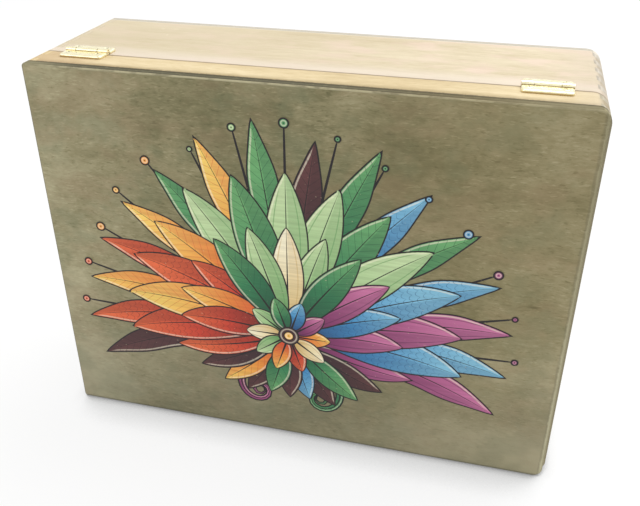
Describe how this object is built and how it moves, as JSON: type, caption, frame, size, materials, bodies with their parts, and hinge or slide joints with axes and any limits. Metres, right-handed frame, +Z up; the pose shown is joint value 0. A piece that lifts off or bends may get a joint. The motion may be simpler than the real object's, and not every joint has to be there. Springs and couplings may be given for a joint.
{
  "type": "card storage box",
  "caption": "Shallow hinged plywood box with finger-jointed corners, a flat lid, card rows and loose sliding dividers inside, standing on its opening side.",
  "frame": {"origin": "middle of the footprint, on the surface that the box stands on, with the hinges up", "axes": "+X along the hinges, to the right as seen from the lid; -Y out of the lid panel, +Y out of the base panel; +Z up, out of the hinge side"},
  "size_m": [0.3014, 0.105, 0.2311],
  "materials": {
    "lid_panel_ply": "birch plywood with an olive-brown water stain, matt",
    "wall_ply": "birch plywood, pale olive stain under a satin varnish",
    "base_ply": "birch plywood with an olive-brown stain, matt",
    "partition_ply": "bare birch plywood, lightly sanded",
    "divider_ply": "bare birch plywood, lightly sanded",
    "hinge_brass": "brass-plated pressed steel, bright",
    "screw_brass": "brass-plated crosshead screws, bright",
    "magnet_nickel": "nickel-plated magnet, satin"
  },
  "bodies": {
    "box_body": {"base_panel": "base_ply", "body_hinge_wall": "wall_ply", "body_opening_wall": "wall_ply", "body_left_end": "wall_ply", "body_right_end": "wall_ply", "partition_1": "partition_ply", "partition_2": "partition_ply", "body_magnets": "magnet_nickel", "body_hinge_leaf_left": "hinge_brass", "body_hinge_leaf_right": "hinge_brass", "body_hinge_screws_left": "screw_brass", "body_hinge_screws_right": "screw_brass", "hinge_pin_left": "hinge_brass", "hinge_pin_right": "hinge_brass"},
    "lid": {"lid_panel": "lid_panel_ply", "lid_hinge_wall": "wall_ply", "lid_opening_wall": "wall_ply", "lid_left_end": "wall_ply", "lid_right_end": "wall_ply", "lid_magnets": "magnet_nickel", "lid_hinge_leaf_left": "hinge_brass", "lid_hinge_leaf_right": "hinge_brass", "lid_hinge_screws_left": "screw_brass", "lid_hinge_screws_right": "screw_brass"},
    "divider_row1_1": {"divider_row1_1": "divider_ply"},
    "divider_row1_2": {"divider_row1_2": "divider_ply"},
    "divider_row2_1": {"divider_row2_1": "divider_ply"},
    "divider_row2_2": {"divider_row2_2": "divider_ply"},
    "divider_row3_1": {"divider_row3_1": "divider_ply"},
    "divider_row3_2": {"divider_row3_2": "divider_ply"}
  },
  "joints": [
    {"name": "lid_hinge", "type": "hinge", "parent": "box_body", "child": "lid", "pos_m": [0, -0.027, 0.2297], "axis": [-1, 0, 0], "range_deg": [0, 170]},
    {"name": "divider_row1_1_slide", "type": "slide", "parent": "box_body", "child": "divider_row1_1", "axis": [1, 0, 0], "range_m": [-0.0502, 0.09075]},
    {"name": "divider_row1_2_slide", "type": "slide", "parent": "box_body", "child": "divider_row1_2", "axis": [1, 0, 0], "range_m": [-0.04475, 0.0962]},
    {"name": "divider_row2_1_slide", "type": "slide", "parent": "box_body", "child": "divider_row2_1", "axis": [1, 0, 0], "range_m": [-0.1042, 0.03675]},
    {"name": "divider_row2_2_slide", "type": "slide", "parent": "box_body", "child": "divider_row2_2", "axis": [1, 0, 0], "range_m": [-0.10275, 0.0382]},
    {"name": "divider_row3_1_slide", "type": "slide", "parent": "box_body", "child": "divider_row3_1", "axis": [1, 0, 0], "range_m": [-0.0712, 0.06975]},
    {"name": "divider_row3_2_slide", "type": "slide", "parent": "box_body", "child": "divider_row3_2", "axis": [1, 0, 0], "range_m": [-0.06675, 0.0742]}
  ]
}
